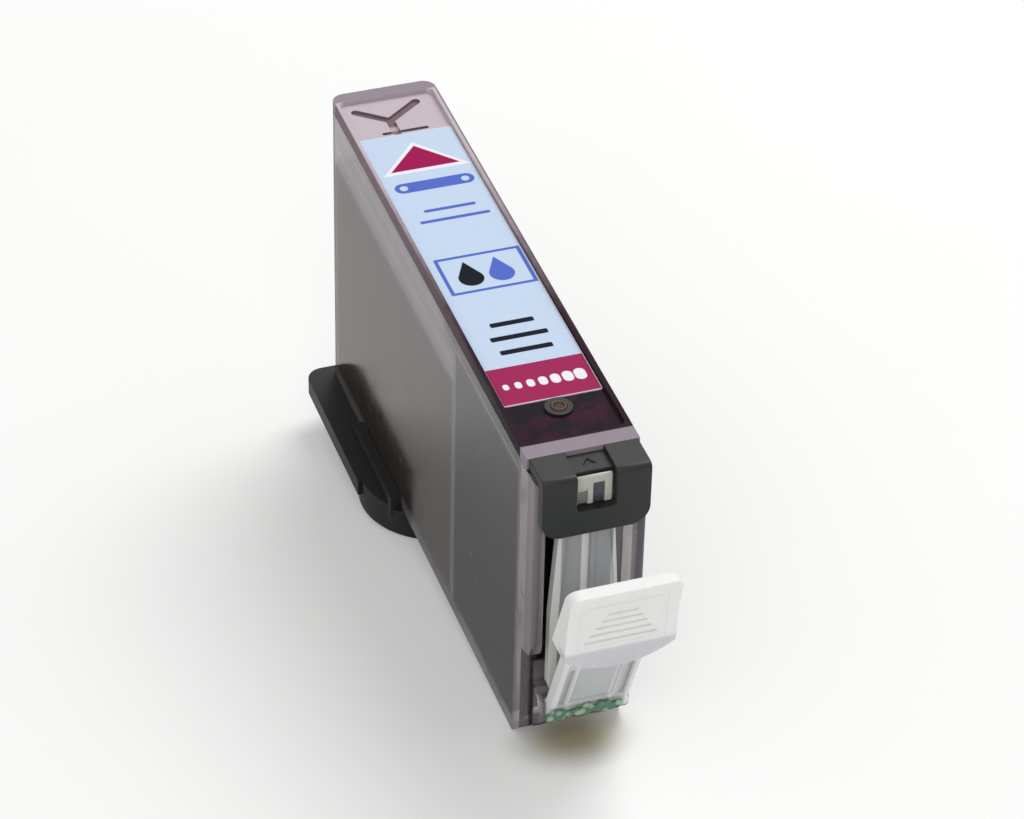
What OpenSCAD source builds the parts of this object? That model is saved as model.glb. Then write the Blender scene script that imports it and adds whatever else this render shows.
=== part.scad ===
// Slim single-colour inkjet ink tank with a press lever, a light guide,
// a contact chip and a pull-off outlet cap. Millimetres, +Z up.
// The origin is on the axis of the ink outlet, at the tank's underside.
// +Y runs from the outlet to the back, and the lever is at the -Y end.

/* [Tank] */
// Width of the tank over its side walls
tank_w = 13; // [12:0.5:16]
// Length of the tank from the front cap's face to the back wall
tank_len = 79; // [75:1:90]
// Height of the tank with its lid
tank_h = 41.4; // [39:0.1:48]
// Thickness of the side and back walls
wall = 1.1; // [0.9:0.1:1.3]
// Thickness of the tank's floor
floor_t = 1.7; // [1.4:0.1:2]
// Thickness of the wall behind the light guide
front_wall = 2.2; // [1.8:0.1:2.4]
// Radius of the two upright back corners
corner_r = 1.6; // [1:0.1:2.2]
// Distance from the front cap's face to the chamber's front wall
channel_d = 4.9; // [4.8:0.1:5.6]
// Length of the ink chamber, from the face of its front wall to the partition
ink_len = 24.3; // [20:0.1:27]
// Thickness of the partition between the two chambers
partition_t = 1; // [0.8:0.1:1.4]
// Height of the roof prism on the ink chamber's floor
prism_h = 4; // [3:0.5:5]
// Width of the roof prism
prism_w = 6; // [4:0.5:8]

/* [Outlet] */
// Distance from the front cap's face to the outlet's axis
outlet_y = 56; // [54:0.5:60]
// Radius of the outlet's bore
outlet_r = 4; // [3.5:0.1:4.2]
// Wall of the collar round the outlet
collar_t = 1; // [0.8:0.1:1.2]
// How far the collar stands below the tank's underside
collar_h = 1.5; // [1.2:0.1:1.8]

/* [Lid and label] */
// Thickness of the lid
lid_t = 1.4; // [1.3:0.1:1.8]
// Width of the rim along the lid's long sides
rim_w = 0.6; // [0.5:0.1:0.9]
// Width of the rim at the back of the lid
back_rim = 1.8; // [1.4:0.1:2.4]
// Depth of the recess inside the rim
recess_d = 0.6; // [0.5:0.05:0.7]
// Length of the open air field between the label and the back rim
vent_field = 8; // [7.4:0.2:10]
// Distance from the front cap's face to the label's front end
label_y = 14.7; // [14.6:0.1:15.2]
// Thickness of the label
label_t = 0.15; // [0.1:0.05:0.3]
// Width of the air groove in the lid
groove_w = 1.1; // [0.9:0.1:1.3]
// Radius of the filling hole
fill_r = 1.3; // [1.1:0.1:1.4]
// Distance from the front cap's face to the filling hole
fill_y = 12.9; // [12.6:0.1:13]

/* [Front cap and light guide] */
// Length of the front cap's top plate
cap_top_len = 4.7; // [4.2:0.1:4.8]
// Height of the front cap's front plate
cap_front_h = 8; // [7.4:0.1:9]
// Thickness of the front plate
cap_front_t = 1.3; // [1.1:0.1:1.5]
// Width of the window and of the notch behind it
window_w = 4.5; // [4:0.1:4.8]
// Width of the light guide under the front cap
guide_w = 6.4; // [6:0.1:6.8]
// Width of the light guide at its foot
guide_foot_w = 8; // [7.6:0.1:8.4]
// Thickness of the light guide's strip
guide_t = 0.9; // [0.7:0.1:1]

/* [Lever] */
// Width of the lever's stem
stem_w = 9.3; // [8.8:0.1:9.6]
// Thickness of the stem
stem_t = 1.5; // [1.3:0.1:1.6]
// Lean of the stem from the upright
stem_lean = 22.7; // [21:0.1:24]
// Width of the thumb pad
pad_w = 12.8; // [12:0.1:13.6]
// Height of the pad's top above the tank's underside
pad_top = 33.5; // [33:0.1:34.5]
// Height of the lower edge of the pad's face
pad_low = 24.6; // [24.2:0.1:25]
// Depth of the pad at that height
pad_d = 3.9; // [3.6:0.1:4.2]
// Height of the lowest point of the pad's round lower lip
lip_low = 20.5; // [20:0.1:21]
// Radius of the hollow in the pad's face
thumb_r = 26.5; // [24:0.5:32]
// Number of grip grooves across the pad
grip_count = 5; // [3:1:5]

/* [Chip] */
// Width of the chip's board
board_w = 9; // [8.6:0.1:9.2]
// Length of the chip's board
board_len = 6.2; // [5.8:0.1:6.4]
// Thickness of the chip's board
board_t = 0.8; // [0.6:0.1:0.9]

/* [Outlet cap] */
// Radius of the round base under the outlet
base_r = 9.6; // [9.2:0.1:10]
// Height of the round base
base_h = 4; // [3.8:0.1:4.6]
// Length of the wing, from the outlet's axis to its tip
wing_len = 23.5; // [19:0.5:25]
// Thickness of the wing
wing_t = 2.2; // [1.8:0.1:2.4]
// Height of the clips on the tank's sides
clip_h = 1.8; // [1.6:0.1:2.4]
// Length of the clips
clip_len = 15.5; // [12:0.5:17]

/* [Hidden] */
$fn = 64;

// Reach of a cut past the faces that it opens
over = 1;
// Gap between the ink and the walls that hold it
ink_gap = 0.05;
// Gap between a sponge and the chamber's sides
sponge_gap = 0.2;
// Running clearance of round pieces in their seats
fit_gap = 0.05;
// Clearance between pieces that are set in by hand
loose_gap = 0.1;

wall_top = tank_h - lid_t;
half_w = tank_w / 2;
inner_w = tank_w - 2 * wall;
ink_y0 = channel_d + front_wall;
ink_y1 = channel_d + ink_len;
sponge_y0 = ink_y1 + partition_t;
sponge_y1 = tank_len - wall;
ink_drop = 2;
ink_top = wall_top - ink_drop;
lid_rib_h = 7;
sponge_top = wall_top - lid_rib_h;
prism_in = 11.2;
sponge_mid = (floor_t + sponge_top) / 2;
prism_y = ink_y0 + prism_in;
slot_w = 4;
slot_h = 2.4;
inner_r = 0.6;

flange_t = 1.4;
flange_y = 1.4;
flange_low = 14;
flange_rise = 1.3;
flange_nick = [1, 2.4];
post_w = 2;
post_up = 5;
post_drop = 2;

lid_y = cap_top_len;
recess_in = 2.7;
recess_y0 = lid_y + recess_in;
recess_z = tank_h - recess_d;
recess_r = 0.8;
groove_d = 0.35;
label_w = tank_w - 2 * rim_w - 2 * loose_gap;
label_r = 0.25;
label_len = tank_len - back_rim - vent_field - label_y;
vent_y = label_y + label_len;
// Points of the air groove, measured from the label's back end
vent_fork = [-0.8, 3.4];
vent_left = [-4.3, 6.2];
vent_right = [3.4, 6.5];
vent_bend = [-0.8, 0.8];
vent_cross = [[-2.3, 0.8], [3, 0.8]];
vent_lead = 1.5;
vent_rows = 5;
vent_pitch = 2.4;
vent_reach = 3.9;
vent_hole_r = 0.5;
lid_rib_t = 1;
lid_rib_count = 3;

plug_head_r = fill_r + 0.3;
plug_head_t = 0.35;
ring_r = 0.75;
ring_bar = 0.15;

cap_corner_r = 2.3;
cap_edge_r = 0.7;
cap_inset = 0.25;
cap_w = tank_w - 2 * cap_inset;
notch_d = 0.6;
arrow = [1.5, 1];
arrow_d = 0.2;
arrow_y = cap_top_len / 2 + 0.4;
window_h = 4.8;
window_d = 1.6;
window_r = 0.5;
cap_low = tank_h - cap_front_h;

nose_w = tank_w - 2.6;
nose_top = 8.9;
nose_y = 1.2;
root_y = 1.1;
root_z = 7.9;
root_r = 1.2;
seat_w = stem_w + 2 * loose_gap;
lip_y = 1.6;
stem_room_y = 2.6;
stem_room_z = root_z + 0.6;
well_wall = 0.3;
well_d = 5;
well_l = 1.7;

guide_x = -0.2;
guide_y = 2.5;
guide_rib = 0.4;
guide_low = nose_top;
guide_top = cap_low - 0.2;
guide_wide_z = 20.5;
guide_tip = [0.6, 1.6];
left_rail_w = 1;
right_rail_w = 0.45;
mid_rib = [0.5, 0.5];
head_w = window_w - 0.4;
head_y = 0.95;
head_r = 0.25;
head_top = tank_h - 0.9;
head_low = tank_h - window_h + loose_gap;
head_field_d = 0.25;
// Left edge, width and height of each light field
head_fields = [[-1.85, 1.1, 2.1], [-0.1, 1.3, 2.8]];

lip_back = 1.4;
lip_r = 8.3;
pad_corner_r = 1.2;
panel_w = pad_w - 2.6;
panel_top = 31.4;
panel_edge = 0.35;
panel_d = 0.25;
groove_first = 29.5;
groove_pitch = 0.98;
groove_short = 3.4;
groove_long = 8.2;
groove_size = [0.3, 0.25];
pocket_wall = 1.1;
pocket_drop = 3.8;
pocket_top = pad_top - pocket_drop;
field_d = 0.35;
field_z = [1.9, 10.6];
// Left edge and width of each sunk field of the stem
fields = [[-2.6, 5.2], [-3.9, 0.7], [3.2, 0.7]];

board_y = 1.7;
board_z = 5.4;
board_tilt = 45;
adhesive_t = 0.15;
led_size = [1.5, 1.1, 0.5];
led_at = 1.5;
die_size = [2.6, 2.2, 0.45];
die_at = 4;
board_nick_r = 0.6;
tape_inset = 0.3;
tape_gap = 0.4;
pad_count = 4;
contact_size = [1.4, 4.2, 0.06];
contact_pitch = 2.05;

pocket_r = outlet_r + collar_t + 0.3;
seal_t = 1.1;
clip_t = 1.3;
clip_out = half_w + loose_gap + clip_t;
clip_front = 6.5;
shoulder_lead = 1;
shoulder_r = 2;
wing_half = base_r + 0.5;
wing_corner_r = 2.2;
foot_w = 2;
foot_d = 0.8;

// Points and lines of the lever's side view, in the plane of Y and Z
function lean_y(z, off) = root_y + off / cos(stem_lean) - (z - root_z) * tan(stem_lean);
function stem_back(z) = lean_y(z, stem_t / 2);
function stem_front(z) = lean_y(z, -stem_t / 2);
pad_face_y = stem_back(pad_low) - pad_d;
// The pad's face is part of a cylinder that lies across, in front of the pad
thumb_y = pad_face_y - thumb_r;
function face_y(z) = thumb_y + sqrt(pow(thumb_r, 2) - pow(z - pad_low, 2));

// Moves a piece that is drawn from the front cap's face to the origin
module from_outlet() translate([0, -outlet_y, 0]) children();

// Extrudes a side view, drawn in Y and Z, across the width w
module side_view(w) translate([-w / 2, 0, 0]) rotate([90, 0, 90]) linear_extrude(w) children();

// Extrudes a front view, drawn in X and Z, from y0 back to y1
module front_view(y0, y1) translate([0, y1, 0]) rotate([90, 0, 0]) linear_extrude(y1 - y0) children();

// A rectangle with round corners, its lower left corner at the origin
module round_rect(w, h, r) {
    translate([r, 0]) square([w - 2 * r, h]);
    translate([0, r]) square([w, h - 2 * r]);
    for (x = [r, w - r], y = [r, h - r]) translate([x, y]) circle(r);
}

// A strip with round ends between two points
module strip(a, b, w) {
    run = b - a;
    translate(a) {
        rotate(atan2(run[1], run[0])) translate([0, -w / 2]) square([norm(run), w]);
        circle(w / 2);
    }
    translate(b) circle(w / 2);
}

// The chip's own frame: its top outer edge is the origin, +Y runs down the
// board to the back, and +Z points into the tank
module on_chip() translate([0, board_y, board_z]) rotate([-board_tilt, 0, 0]) children();

// Plan of the closed part of the tank, from y0 to the back
module tank_plan(y0) {
    translate([-half_w, y0]) square([tank_w, tank_len - corner_r - y0]);
    translate([-half_w, y0 + over]) round_rect(tank_w, tank_len - y0 - over, corner_r);
}

// The tank's front lower corner is cut off along the slant of the chip
slant_sum = board_y + board_z + adhesive_t * sqrt(2);
module below_slant()
    side_view(2 * tank_w) polygon([[-over, -over], [slant_sum + over, -over], [-over, slant_sum + over]]);

// Side view of the roof prism on the ink chamber's floor
module prism_profile(gap) {
    rise = prism_h + gap * sqrt(2);
    polygon([[prism_y - rise, floor_t], [prism_y, floor_t + rise], [prism_y + rise, floor_t]]);
}

// Side view of the ink's space: its front corner slants over the chip
module ink_profile(gap, top) {
    slant = board_y + board_z + (board_t + adhesive_t + wall) * sqrt(2);
    floor_z = floor_t + gap;
    front_y = ink_y0 + gap;
    lean = slant + gap * sqrt(2);
    polygon([[front_y, lean - front_y], [lean - floor_z, floor_z], [ink_y1 - gap, floor_z],
             [ink_y1 - gap, top], [front_y, top]]);
}

// The ink's space, smaller by a gap all round
module ink_space(gap, top) difference() {
    side_view(inner_w - 2 * gap) ink_profile(gap, top);
    side_view(prism_w + 2 * gap) prism_profile(gap);
}

module guard_flange() {
    intersection() {
        linear_extrude(wall_top) {
            translate([half_w - flange_t, flange_y + flange_t / 2]) square([flange_t, channel_d - flange_y]);
            translate([half_w - flange_t / 2, flange_y + flange_t / 2]) circle(flange_t / 2);
        }
        side_view(2 * tank_w)
            polygon([[channel_d + over, flange_low], [flange_y + flange_nick[0], flange_low + flange_rise],
                     [flange_y, flange_low + flange_rise + flange_nick[1]],
                     [flange_y, tank_h], [channel_d + over, tank_h]]);
    }
}

// The nose carries the lever's root in front and the chip on its slant
module nose() {
    side_view(nose_w)
        polygon([[channel_d + wall / 2, nose_top], [nose_y, nose_top], [nose_y, slant_sum - nose_y],
                 [slant_sum, 0], [slant_sum + wall, 0], [channel_d + wall / 2, floor_t + wall]]);
}

module nose_cuts() {
    // Round seat of the lever's root, open to the front and upwards
    translate([-seat_w / 2, root_y, root_z]) rotate([0, 90, 0]) cylinder(h = seat_w, r = root_r + fit_gap);
    side_view(seat_w)
        polygon([[nose_y - over, 0], [lip_y, 0], [lip_y, root_z], [stem_room_y, stem_room_z],
                 [stem_room_y, nose_top + over], [nose_y - over, nose_top + over]]);
    // Pocket of the chip's board, with room for what stands on its inner face
    on_chip() {
        translate([-board_w / 2 - loose_gap, -board_len, -base_h])
            cube([board_w + 2 * loose_gap, 2 * board_len + loose_gap, base_h + board_t + adhesive_t]);
        translate([-die_size[0] / 2 - loose_gap, die_at - die_size[1] / 2 - loose_gap, 0])
            cube([die_size[0] + 2 * loose_gap, die_size[1] + 2 * loose_gap,
                  board_t + die_size[2] + loose_gap]);
        translate([-led_size[0] / 2 - loose_gap, led_at - led_size[1] / 2 - loose_gap, 0])
            cube([led_size[0] + 2 * loose_gap, led_size[1] + 2 * loose_gap,
                  board_t + led_size[2] + loose_gap]);
    }
    // Light well from the lamp up to the guide
    translate([-led_size[0] / 2 - loose_gap, stem_room_y + well_wall, nose_top - well_d])
        cube([led_size[0] + 2 * loose_gap, well_l, well_d + over]);
}

module tank_body() {
    color([0.47, 0.44, 0.44, 0.55]) from_outlet() difference() {
        union() {
            difference() {
                linear_extrude(wall_top) tank_plan(channel_d);
                below_slant();
            }
            guard_flange();
            mirror([1, 0, 0]) guard_flange();
            nose();
            // Posts behind the light guide
            for (z = [nose_top + post_up, cap_low - post_drop])
                translate([guide_x - post_w / 2, guide_y + guide_t, z])
                    cube([post_w, channel_d - guide_y - guide_t + wall / 2, post_w]);
            translate([0, outlet_y, -collar_h]) cylinder(h = collar_h + floor_t, r = outlet_r + collar_t);
        }
        ink_space(0, tank_h);
        translate([-inner_w / 2, sponge_y0, floor_t]) linear_extrude(tank_h)
            round_rect(inner_w, sponge_y1 - sponge_y0, inner_r);
        // Slot at the foot of the partition that lets ink through
        translate([-slot_w / 2, ink_y1 - over, floor_t]) cube([slot_w, partition_t + 2 * over, slot_h]);
        translate([0, outlet_y, -collar_h - over]) cylinder(h = tank_h / 2, r = outlet_r);
        nose_cuts();
    }
}

// Air path: a fork that opens at the back of the lid, then a labyrinth
// under the label that ends at the hole over the sponge
module air_groove() {
    strip(vent_left, vent_fork, groove_w);
    strip(vent_right, vent_fork, groove_w);
    strip(vent_fork, vent_bend, groove_w);
    strip(vent_bend, [0, -vent_lead], groove_w / 2);
    strip(vent_cross[0], vent_cross[1], groove_w / 2);
    for (i = [0:vent_rows - 1]) {
        side = i % 2 == 0 ? 1 : -1;
        y = -vent_lead - i * vent_pitch;
        strip([i == 0 ? 0 : -side * vent_reach, y], [side * vent_reach, y], groove_w / 2);
        strip([side * vent_reach, y], [side * vent_reach, y - vent_pitch], groove_w / 2);
    }
}

module tank_lid() {
    rib_span = (sponge_y1 - sponge_y0) / (lid_rib_count + 1);
    vent_end = [vent_rows % 2 == 1 ? vent_reach : -vent_reach, -vent_lead - vent_rows * vent_pitch];
    color([0.62, 0.55, 0.58, 0.6]) from_outlet() {
        difference() {
            translate([0, 0, wall_top]) linear_extrude(lid_t) tank_plan(lid_y);
            translate([-half_w + rim_w, recess_y0, recess_z]) linear_extrude(over + recess_d)
                round_rect(tank_w - 2 * rim_w, tank_len - back_rim - recess_y0, recess_r);
            translate([0, vent_y, recess_z - groove_d]) linear_extrude(over + groove_d) air_groove();
            translate([vent_end[0], vent_y + vent_end[1], 0]) cylinder(h = tank_h + over, r = vent_hole_r);
            translate([0, fill_y, 0]) cylinder(h = tank_h + over, r = fill_r);
        }
        // Ribs that hold the sponges down
        for (i = [1:lid_rib_count])
            translate([-inner_w / 2 + loose_gap, sponge_y0 + i * rib_span, sponge_top])
                cube([inner_w - 2 * loose_gap, lid_rib_t, wall_top - sponge_top]);
    }
}

module top_label() {
    color([0.78, 0.85, 0.95]) from_outlet()
        translate([-label_w / 2, label_y, recess_z]) linear_extrude(label_t)
            round_rect(label_w, label_len, label_r);
}

module fill_plug() {
    color([0.12, 0.1, 0.11]) from_outlet() translate([0, fill_y, 0]) difference() {
        union() {
            translate([0, 0, wall_top - 0.8]) cylinder(h = recess_z - wall_top + 0.8, r = fill_r - fit_gap);
            translate([0, 0, recess_z]) cylinder(h = plug_head_t, r = plug_head_r);
        }
        translate([0, 0, recess_z + plug_head_t]) rotate_extrude()
            translate([ring_r, 0]) circle(ring_bar + fit_gap);
    }
}

module plug_ring() {
    color([0.6, 0.45, 0.25]) from_outlet() translate([0, fill_y, recess_z + plug_head_t])
        rotate_extrude() translate([ring_r, 0]) circle(ring_bar);
}

module ink_charge() {
    color([0.35, 0.03, 0.15]) from_outlet() ink_space(ink_gap, ink_top);
}

module sponge(z0, z1) {
    color([0.55, 0.3, 0.38]) from_outlet()
        translate([-inner_w / 2 + sponge_gap, sponge_y0 + sponge_gap, z0]) linear_extrude(z1 - z0)
            round_rect(inner_w - 2 * sponge_gap, sponge_y1 - sponge_y0 - 2 * sponge_gap, inner_r);
}

module upper_sponge() sponge(sponge_mid, sponge_top);
module lower_sponge() sponge(floor_t, sponge_mid);

module outlet_wick() {
    color([0.5, 0.2, 0.3]) from_outlet() translate([0, outlet_y, -collar_h + 0.3])
        cylinder(h = floor_t + collar_h - 0.3, r = outlet_r - fit_gap);
}

module front_cap() {
    color([0.2, 0.22, 0.21]) from_outlet() difference() {
        intersection() {
            side_view(cap_w) {
                translate([0, cap_low]) square([cap_front_t, cap_front_h - cap_edge_r]);
                translate([cap_edge_r, wall_top]) square([cap_top_len - cap_edge_r, lid_t]);
                translate([cap_edge_r, tank_h - cap_edge_r]) circle(cap_edge_r);
                translate([cap_edge_r, cap_low]) square([cap_front_t - cap_edge_r, cap_front_h - cap_edge_r]);
            }
            front_view(-over, tank_len) translate([-cap_w / 2, cap_low])
                round_rect_foot(cap_w, cap_front_h + over, cap_corner_r);
        }
        // Window, open at the top into the notch
        front_view(-over, window_d) translate([-window_w / 2, tank_h - window_h])
            round_rect_foot(window_w, window_h + over, window_r);
        translate([-window_w / 2, 0, tank_h - notch_d]) cube([window_w, cap_top_len + over, notch_d + over]);
        // Small triangle in the notch's floor that points to the back
        translate([0, arrow_y, tank_h - notch_d - arrow_d]) linear_extrude(lid_t)
            polygon([[-arrow[0] / 2, 0], [arrow[0] / 2, 0], [0, arrow[1]]]);
    }
}

// A rectangle with its two lower corners rounded
module round_rect_foot(w, h, r) {
    translate([r, 0]) square([w - 2 * r, h]);
    translate([0, r]) square([w, h - r]);
    for (x = [r, w - r]) translate([x, r]) circle(r);
}

// Front view of the light guide's strip: its edges lean outwards down to
// guide_wide_z, and the corners of its foot are cut
module guide_outline() {
    foot = guide_foot_w / 2;
    polygon([[guide_tip[0] - foot, guide_low], [foot - guide_tip[0], guide_low],
             [foot, guide_low + guide_tip[1]], [foot, guide_wide_z], [guide_w / 2, guide_top],
             [-guide_w / 2, guide_top], [-foot, guide_wide_z], [-foot, guide_low + guide_tip[1]]]);
}

// A rail of the width w along the left edge, at side -1, or the right edge
module guide_rail(side, w) {
    foot = guide_foot_w / 2;
    z0 = guide_low + guide_tip[1];
    polygon([[side * foot, z0], [side * (foot - w), z0], [side * (foot - w), guide_wide_z],
             [side * (guide_w / 2 - w), guide_top], [side * guide_w / 2, guide_top],
             [side * foot, guide_wide_z]]);
}

module light_guide() {
    strip_top = wall_top - loose_gap;
    rib_z = guide_low + guide_tip[1];
    color([0.75, 0.77, 0.78, 0.6]) from_outlet() difference() {
        union() {
            translate([guide_x, 0, 0]) {
                front_view(guide_y, guide_y + guide_t) guide_outline();
                front_view(guide_y - guide_rib, guide_y) {
                    guide_rail(-1, left_rail_w);
                    guide_rail(1, right_rail_w);
                    translate([mid_rib[0], rib_z]) square([mid_rib[1], guide_top - rib_z]);
                }
            }
            // Head that turns forwards into the window
            side_view(head_w) {
                translate([guide_y - guide_rib, guide_top - over])
                    square([guide_t + guide_rib, strip_top - guide_top + over]);
                translate([head_y, head_low]) square([guide_y - head_y, strip_top - head_low]);
                translate([head_y, head_low]) square([2 * head_r, head_top - head_r - head_low]);
                translate([head_y + head_r, head_top - head_r]) circle(head_r);
            }
        }
        // Two sunk light fields in the head's face
        for (field = head_fields)
            translate([field[0], head_y - over, head_low - over])
                cube([field[1], over + head_field_d, over + field[2]]);
    }
}

// Side view of the stem's plate from the root up to the height top
module stem_side(top) {
    polygon([[stem_back(root_z), root_z], [stem_back(top), top], [stem_front(top), top],
             [stem_front(root_z), root_z]]);
}

// Side view of the thumb pad, before its face is hollowed
module pad_side() {
    front = pad_face_y - pad_d;
    polygon([[stem_back(lip_low), lip_low], [stem_back(pad_top), pad_top], [front, pad_top],
             [front, pad_low], [pad_face_y, pad_low], [pad_face_y + lip_back, lip_low]]);
}

// Front view of the thumb pad: a round lower lip and two round top corners
module pad_outline() {
    lip_mid = lip_low + lip_r;
    intersection() {
        translate([-pad_w / 2, lip_low]) square([pad_w, lip_r]);
        translate([0, lip_mid]) circle(lip_r);
    }
    translate([-pad_w / 2, pad_top]) mirror([0, 1]) round_rect_foot(pad_w, pad_top - lip_mid, pad_corner_r);
}

// The hollow of the pad's face, deeper by d
module thumb_hollow(d)
    translate([-pad_w, thumb_y, pad_low]) rotate([0, 90, 0]) cylinder(h = 2 * pad_w, r = thumb_r + d);

module pocket_side() {
    skin = panel_d + groove_size[1] + pocket_wall;
    polygon([[stem_back(pad_low) + over, pad_low], [stem_back(pocket_top) + over, pocket_top],
             [face_y(pocket_top) + skin, pocket_top], [face_y(pad_low) + skin, pad_low]]);
}

// Grooves across the panel, each longer than the one above it
module grip_grooves() {
    for (i = [0:grip_count - 1]) {
        z = groove_first - i * groove_pitch;
        len = groove_short + (groove_long - groove_short) * i / (grip_count - 1);
        translate([-len / 2, face_y(z) - over, z - groove_size[0] / 2])
            cube([len, over + panel_d + groove_size[1], groove_size[0]]);
    }
}

module latch_lever() {
    pocket_w = (pad_w - 3 * pocket_wall) / 2;
    color([0.88, 0.88, 0.87]) from_outlet() difference() {
        union() {
            translate([-stem_w / 2, root_y, root_z]) rotate([0, 90, 0]) cylinder(h = stem_w, r = root_r);
            side_view(stem_w) stem_side(pad_low);
            difference() {
                intersection() {
                    side_view(pad_w) pad_side();
                    front_view(-tank_len, tank_len) pad_outline();
                }
                thumb_hollow(0);
            }
        }
        // Sunk fields between the rails of the stem
        translate([0, root_y, root_z]) rotate([stem_lean, 0, 0])
            for (field = fields)
                translate([field[0], -stem_t / 2 - over, field_z[0]])
                    cube([field[1], over + field_d, field_z[1] - field_z[0]]);
        // Sunk panel of the pad with its grip grooves
        intersection() {
            thumb_hollow(panel_d);
            translate([-panel_w / 2, -tank_len, pad_low + panel_edge])
                cube([panel_w, tank_len, panel_top - pad_low - panel_edge]);
        }
        grip_grooves();
        // Two pockets core the pad from behind
        for (side = [-1, 1])
            translate([side * (pocket_w + pocket_wall) / 2, 0, 0]) side_view(pocket_w) pocket_side();
    }
}

module chip_board() {
    color([0.2, 0.42, 0.25]) from_outlet() on_chip()
        linear_extrude(board_t) translate([-board_w / 2, 0]) difference() {
            round_rect(board_w, board_len, 0.4);
            // Half-round nicks that the board was located by
            for (x = [0, board_w]) translate([x, board_len / 2]) circle(board_nick_r);
        }
}

module chip_contacts() {
    color([0.85, 0.68, 0.3]) from_outlet() on_chip()
        for (i = [0:pad_count - 1])
            translate([(i - (pad_count - 1) / 2) * contact_pitch - contact_size[0] / 2, 1, -contact_size[2]])
                cube(contact_size);
}

module on_board(at, size) translate([-size[0] / 2, at - size[1] / 2, board_t]) cube(size);

module chip_led() {
    color([0.9, 0.85, 0.6]) from_outlet() on_chip() on_board(led_at, led_size);
}

module chip_die() {
    color([0.08, 0.08, 0.08]) from_outlet() on_chip() on_board(die_at, die_size);
}

module chip_adhesive() {
    color([0.9, 0.9, 0.85]) from_outlet() on_chip() difference() {
        translate([-board_w / 2 + tape_inset, tape_inset, board_t])
            cube([board_w - 2 * tape_inset, board_len - 2 * tape_inset, adhesive_t]);
        on_board(led_at, led_size + [tape_gap, tape_gap, over]);
        on_board(die_at, die_size + [tape_gap, tape_gap, over]);
    }
}

module outlet_cap() {
    color([0.07, 0.07, 0.07]) from_outlet() translate([0, outlet_y, 0]) difference() {
        union() {
            translate([0, 0, -base_h]) cylinder(h = base_h, r = base_r);
            translate([-wing_half, 0, -wing_t]) linear_extrude(wing_t)
                mirror([0, 1]) translate([0, -wing_len]) round_rect_foot(2 * wing_half, wing_len, wing_corner_r);
            // Shoulder that carries the two clips
            translate([-clip_out, -clip_front - shoulder_lead, -wing_t]) linear_extrude(wing_t)
                round_rect(2 * clip_out, clip_len, shoulder_r);
            for (side = [-1, 1])
                translate([side * (clip_out - clip_t / 2) - clip_t / 2, -clip_front, -wing_t / 2])
                    cube([clip_t, clip_len, wing_t / 2 + clip_h]);
        }
        translate([0, 0, -collar_h - seal_t]) cylinder(h = collar_h + seal_t + over, r = pocket_r);
        // Hollow foot: only the rim of the base stands on the table
        translate([0, 0, -base_h - over]) cylinder(h = over + foot_d, r = base_r - foot_w);
    }
}

module cap_seal() {
    color([0.25, 0.25, 0.26]) from_outlet()
        translate([0, outlet_y, -collar_h - seal_t]) cylinder(h = seal_t, r = pocket_r - loose_gap);
}

tank_body();
tank_lid();
top_label();
fill_plug();
plug_ring();
ink_charge();
upper_sponge();
lower_sponge();
outlet_wick();
front_cap();
light_guide();
latch_lever();
chip_board();
chip_contacts();
chip_led();
chip_die();
chip_adhesive();
outlet_cap();
cap_seal();
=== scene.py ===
# %% [markdown]
# # A slim inkjet ink tank on a white table
# The tank is a smoky clear box, 13 mm wide and 79 mm long, filled with dark
# ink in front and with soaked foam behind. This script dresses the finished
# construction model: every moulded piece keeps its true shape and gets
# rounded edges, and every surface gets a finish that is made of nodes.

# %% Frame, units and helpers
import math
import random

import bmesh
import bpy
from mathutils import Matrix, Vector


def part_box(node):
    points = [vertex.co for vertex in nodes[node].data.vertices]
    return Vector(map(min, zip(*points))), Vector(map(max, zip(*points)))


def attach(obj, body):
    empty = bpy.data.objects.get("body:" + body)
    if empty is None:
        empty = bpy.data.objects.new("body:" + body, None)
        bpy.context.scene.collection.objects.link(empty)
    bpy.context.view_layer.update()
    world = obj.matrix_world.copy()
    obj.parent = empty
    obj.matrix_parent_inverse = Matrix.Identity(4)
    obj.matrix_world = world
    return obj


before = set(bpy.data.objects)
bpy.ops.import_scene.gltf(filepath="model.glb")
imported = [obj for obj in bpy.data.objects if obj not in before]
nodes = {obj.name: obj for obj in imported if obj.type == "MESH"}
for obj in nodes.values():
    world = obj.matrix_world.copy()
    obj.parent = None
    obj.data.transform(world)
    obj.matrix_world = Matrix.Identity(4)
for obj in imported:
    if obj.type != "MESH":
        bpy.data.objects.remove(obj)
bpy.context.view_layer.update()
MM = 0.001
print("loaded", len(nodes), "nodes")

# %% [markdown]
# ## The camera
# A photograph fixes the camera once its lens and place are known. The tank's
# long edges run to one vanishing point, and fitting the corners of the tank
# gives a long lens, a view from the left of the lever end, and a very small
# roll. The camera's three axes are written from those angles, so nothing
# has to be aimed by hand.

# %% Camera
IMAGE_W = 1024
FOCAL_PIXELS = 4034
SENSOR_MM = 36
AZIMUTH = math.radians(-19.459)
ELEVATION = math.radians(37.701)
ROLL = math.radians(1.356)
CAMERA_AT = Vector((-121.46, -371.53, 311.12)) * MM


def camera_axes(azimuth, elevation, roll):
    """Right, up and back of a camera that looks at the object's front."""
    right = Vector((math.cos(azimuth), math.sin(azimuth), 0))
    back = Vector((math.sin(azimuth) * math.cos(elevation),
                   -math.cos(azimuth) * math.cos(elevation), math.sin(elevation)))
    up = back.cross(right)
    turned_right = right * math.cos(roll) + up * math.sin(roll)
    turned_up = up * math.cos(roll) - right * math.sin(roll)
    return turned_right, turned_up, back


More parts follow.
